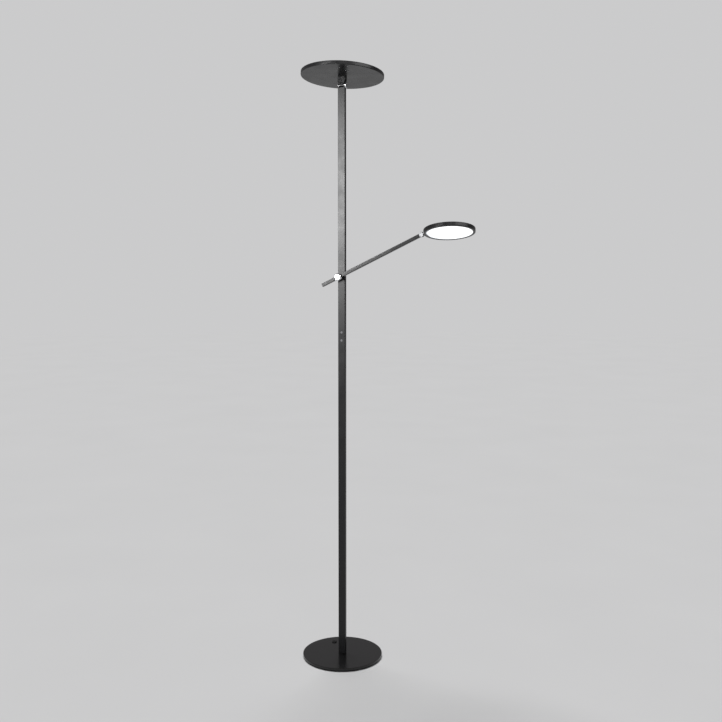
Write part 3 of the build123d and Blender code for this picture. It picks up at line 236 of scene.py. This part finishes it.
def phosphor(name, colour, strength):
    """The yellow phosphor of a white light-emitting diode."""
    material, tree, place = begin(name)
    cloud = noise(tree, place, 1 * MM, 2.0)
    return end(material, tree, {
        "Base Color": blend(tree, cloud, shade(colour, 0.9), colour),
        "Roughness": between(tree, cloud, 0.35, 0.5),
        "Normal": bump(tree, cloud, 0.02 * MM),
        "Emission Color": (*colour, 1.0),
        "Emission Strength": strength,
    })


def matt_floor(name, colour):
    """A dead matt studio floor, as even from one side as from another."""
    material, tree, place = begin(name)
    cloud = noise(tree, place, 0.5, 4.0)
    grain = noise(tree, place, 4 * MM, 2.0)
    return end(material, tree, {
        "Base Color": blend(tree, cloud, shade(colour, 0.99), shade(colour, 1.01)),
        "Roughness": 0.9,
        "Normal": bump(tree, grain, 0.05 * MM),
        "Specular IOR Level": 0.0,
    })


# --- Which material each node has -----------------------------------------------------------

PAINT = (0.008, 0.008, 0.0085)
PAINT_GRAIN = 0.45 * MM
CHROME = (0.82, 0.83, 0.85)
CHROME_PITCH = 0.35 * MM
DARK_METAL = (0.10, 0.10, 0.105)
DARK_METAL_PITCH = 0.15 * MM
STEEL = (0.55, 0.55, 0.56)
BLACKENED_STEEL = (0.03, 0.03, 0.031)
WHITE = (0.90, 0.90, 0.88)
COOL_GLOW = [(0.0, (1.0, 1.0, 1.0)), (0.86, (0.98, 0.99, 1.0)), (1.0, (0.10, 0.13, 0.17))]
WARM_GLOW = [(0.0, (1.0, 0.95, 0.86)), (0.7, (0.9, 0.85, 0.76)), (1.0, (0.45, 0.42, 0.37))]
ALONG_X = (1, 0, 0)
ALONG_Y = (0, 1, 0)


def middle(node):
    """The middle of a node's box."""
    low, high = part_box(node)
    return (low + high) / 2


def chrome(name, node, axis):
    return turned_metal(name, CHROME, 0.09, node, axis, CHROME_PITCH)


def dark_metal(name, node):
    return turned_metal(name, DARK_METAL, 0.45, node, ALONG_Y, DARK_METAL_PITCH)


SLOT_LOOKS = {
    "base_paint": textured_paint("base_paint", 0.2, 0.5, 0.006 * MM),
    "body_paint": textured_paint("body_paint", 0.28, 0.22, 0.02 * MM),
    "steel": machined_steel("steel", STEEL, 0.28),
    "chrome": chrome("chrome", "arm_pivot_knob", ALONG_Y),
    "button_metal": dark_metal("button_metal", "uplight_button"),
    "rubber": rubber("rubber", (0.018, 0.018, 0.018)),
    "cable_sheath": rubber("cable_sheath", (0.022, 0.022, 0.024)),
    "black_plastic": moulded_plastic("black_plastic", (0.028, 0.028, 0.030), 0.42),
    "bearing_plastic": moulded_plastic("bearing_plastic", (0.62, 0.61, 0.58), 0.4),
    "grey_plastic": moulded_plastic("grey_plastic", (0.16, 0.16, 0.17), 0.4),
    "white_plastic": moulded_plastic("white_plastic", WHITE, 0.36),
    "circuit_board": printed_board("circuit_board", (0.01, 0.10, 0.04), (0.03, 0.20, 0.08)),
    "led_board": printed_board("led_board", (0.80, 0.80, 0.78), (0.70, 0.69, 0.66)),
    "led": phosphor("led", (0.93, 0.78, 0.30), 0.5),
    "uplight_opal": opal(
        "uplight_opal", (0.78, 0.77, 0.74), "uplight_diffuser", 120 * MM, WARM_GLOW, 0.25
    ),
    "reading_opal": opal("reading_opal", WHITE, "reading_diffuser", 70 * MM, COOL_GLOW, 1.05),
}

# The nodes that look different from the others in their slot.
arm_paint = textured_paint("arm_paint", 0.21, 0.22, 0.008 * MM)
NODE_LOOKS = {
    "arm_tube": arm_paint,
    "arm_tail_cap": arm_paint,
    "arm_end_fork": arm_paint,
    "arm_end_screw": machined_steel("blackened_steel", BLACKENED_STEEL, 0.4),
    "cable_gland": rubber("gland_rubber", (0.006, 0.006, 0.006)),
    "head_hinge_cap": chrome("cap_chrome", "head_hinge_cap", ALONG_Y),
    "uplight_side_cap": chrome("side_cap_chrome", "uplight_side_cap", ALONG_X),
    "reading_button": dark_metal("reading_button_metal", "reading_button"),
}

for part in record["subparts"]:
    look = NODE_LOOKS.get(part["node"], SLOT_LOOKS[part["material_slot"]])
    for material_slot in nodes[part["node"]].material_slots:
        material_slot.material = look

# --- Floor ----------------------------------------------------------------------------------

FLOOR_RADIUS = 14.0
FLOOR_SIDES = 96
FLOOR_COLOUR = (0.655, 0.655, 0.66)

corners = [tau * i / FLOOR_SIDES for i in range(FLOOR_SIDES)]
rim = [(FLOOR_RADIUS * cos(angle), FLOOR_RADIUS * sin(angle), 0.0) for angle in corners]
floor_mesh = bpy.data.meshes.new("floor")
floor_mesh.from_pydata(rim, [], [range(FLOOR_SIDES)])
floor_mesh.materials.append(matt_floor("floor_paint", FLOOR_COLOUR))
floor = bpy.data.objects.new("floor", floor_mesh)
bpy.context.scene.collection.objects.link(floor)

# --- Light ----------------------------------------------------------------------------------

# The softboxes make the gloss on the lamp's painted and chromed pieces. They leave out the floor,
# which the sky lights evenly, and the base plate and the diffusers, which would be too bright.
softbox_targets = bpy.data.collections.new("lamp_only")
for name, node in nodes.items():
    if name != "base_plate" and not name.endswith("diffuser"):
        softbox_targets.objects.link(node)

ALL_ROUND = 180
MID_LAMP = (0, 0, 1.45)
SOFTBOXES = [  # name, place, aim, width, height, watts, spread in degrees
    ("key_light", (-1.6, -2.97, 1.66), MID_LAMP, 0.55, 0.9, 115, ALL_ROUND),
    ("high_light", (-0.8, -1.9, 3.4), MID_LAMP, 1.0, 1.0, 11, 70),
    ("panel_light", (-1.22, -3.0, 1.15), (0, 0, 1.25), 0.75, 0.5, 1.2, ALL_ROUND),
    ("side_light", (2.4, -0.5, 2.6), (0.1, 0, 1.6), 2.4, 0.8, 32, ALL_ROUND),
    ("fill_light", (1.3, -2.2, 2.9), (0.1, 0, 1.6), 1.6, 0.8, 7, ALL_ROUND),
    ("cap_light", (-0.6, -3.0, 1.42), (0.3, 0, 1.33), 0.22, 0.22, 0.2, ALL_ROUND),
]
for name, place, aim, width, height, watts, spread in SOFTBOXES:
    light = bpy.data.lights.new(name, "AREA")
    light.shape = "RECTANGLE"
    light.size = width
    light.size_y = height
    light.energy = watts
    light.spread = radians(spread)
    light.cycles.max_bounces = 0  # no second-hand glare off the pole in the glossy base
    softbox = bpy.data.objects.new(name, light)
    softbox.location = place
    softbox.rotation_euler = (Vector(aim) - Vector(place)).to_track_quat("-Z", "Y").to_euler()
    softbox.light_linking.receiver_collection = softbox_targets
    bpy.context.scene.collection.objects.link(softbox)

SKY_STRENGTH = 2.9
SKY_WIDTH = radians(30)  # wide, for soft shadows
SKY_TURN = (radians(-18), radians(-14), 0)

sky = bpy.data.lights.new("sky_light", "SUN")
sky.energy = SKY_STRENGTH
sky.angle = SKY_WIDTH
sky_light = bpy.data.objects.new("sky_light", sky)
sky_light.rotation_euler = SKY_TURN
sky_light.visible_glossy = False
bpy.context.scene.collection.objects.link(sky_light)

BACKDROP = (0.598, 0.598, 0.603)  # as light as the lit floor, so no horizon shows
BACKDROP_STRENGTH = 1.0
MIRRORED = (1.0, 0.975, 0.985)
MIRRORED_STRENGTH = 0.24
AMBIENT = (1.0, 0.99, 0.99)
AMBIENT_STRENGTH = 0.06

world = bpy.data.worlds.new("studio")
world.use_nodes = True
bpy.context.scene.world = world
studio = world.node_tree
studio.nodes.clear()


def background(colour, strength):
    made = add(studio, "Background", {"Color": (*colour, 1), "Strength": strength})
    return made.outputs["Background"]


def choose(switch, otherwise, chosen):
    made = add(studio, "MixShader", {0: switch, 1: otherwise, 2: chosen})
    return made.outputs["Shader"]


ray = add(studio, "LightPath").outputs
ambient = background(AMBIENT, AMBIENT_STRENGTH)
unseen = choose(ray["Is Glossy Ray"], ambient, background(MIRRORED, MIRRORED_STRENGTH))
surroundings = choose(ray["Is Camera Ray"], unseen, background(BACKDROP, BACKDROP_STRENGTH))
add(studio, "OutputWorld", {"Surface": surroundings})

# --- Camera ---------------------------------------------------------------------------------

CAMERA_AZIMUTH = radians(22)
CAMERA_PITCH = radians(-6)
CAMERA_ROLL = radians(-0.065)
CAMERA_RANGE = 2.905  # from the lamp's axis, level with the camera
CAMERA_SIDE = 0.0575
CAMERA_HEIGHT = 1.2475
CAMERA_LENS = 47.23

right = Vector((cos(CAMERA_AZIMUTH), sin(CAMERA_AZIMUTH), 0))
back = Vector((sin(CAMERA_AZIMUTH), -cos(CAMERA_AZIMUTH), 0))
camera_data = bpy.data.cameras.new("camera")
camera_data.lens = CAMERA_LENS
camera = bpy.data.objects.new("camera", camera_data)
camera.location = right * CAMERA_SIDE + back * CAMERA_RANGE + Vector((0, 0, CAMERA_HEIGHT))
camera.rotation_euler = (radians(90) + CAMERA_PITCH, CAMERA_ROLL, CAMERA_AZIMUTH)
bpy.context.scene.collection.objects.link(camera)
bpy.context.scene.camera = camera
bpy.context.scene.view_settings.view_transform = "Standard"
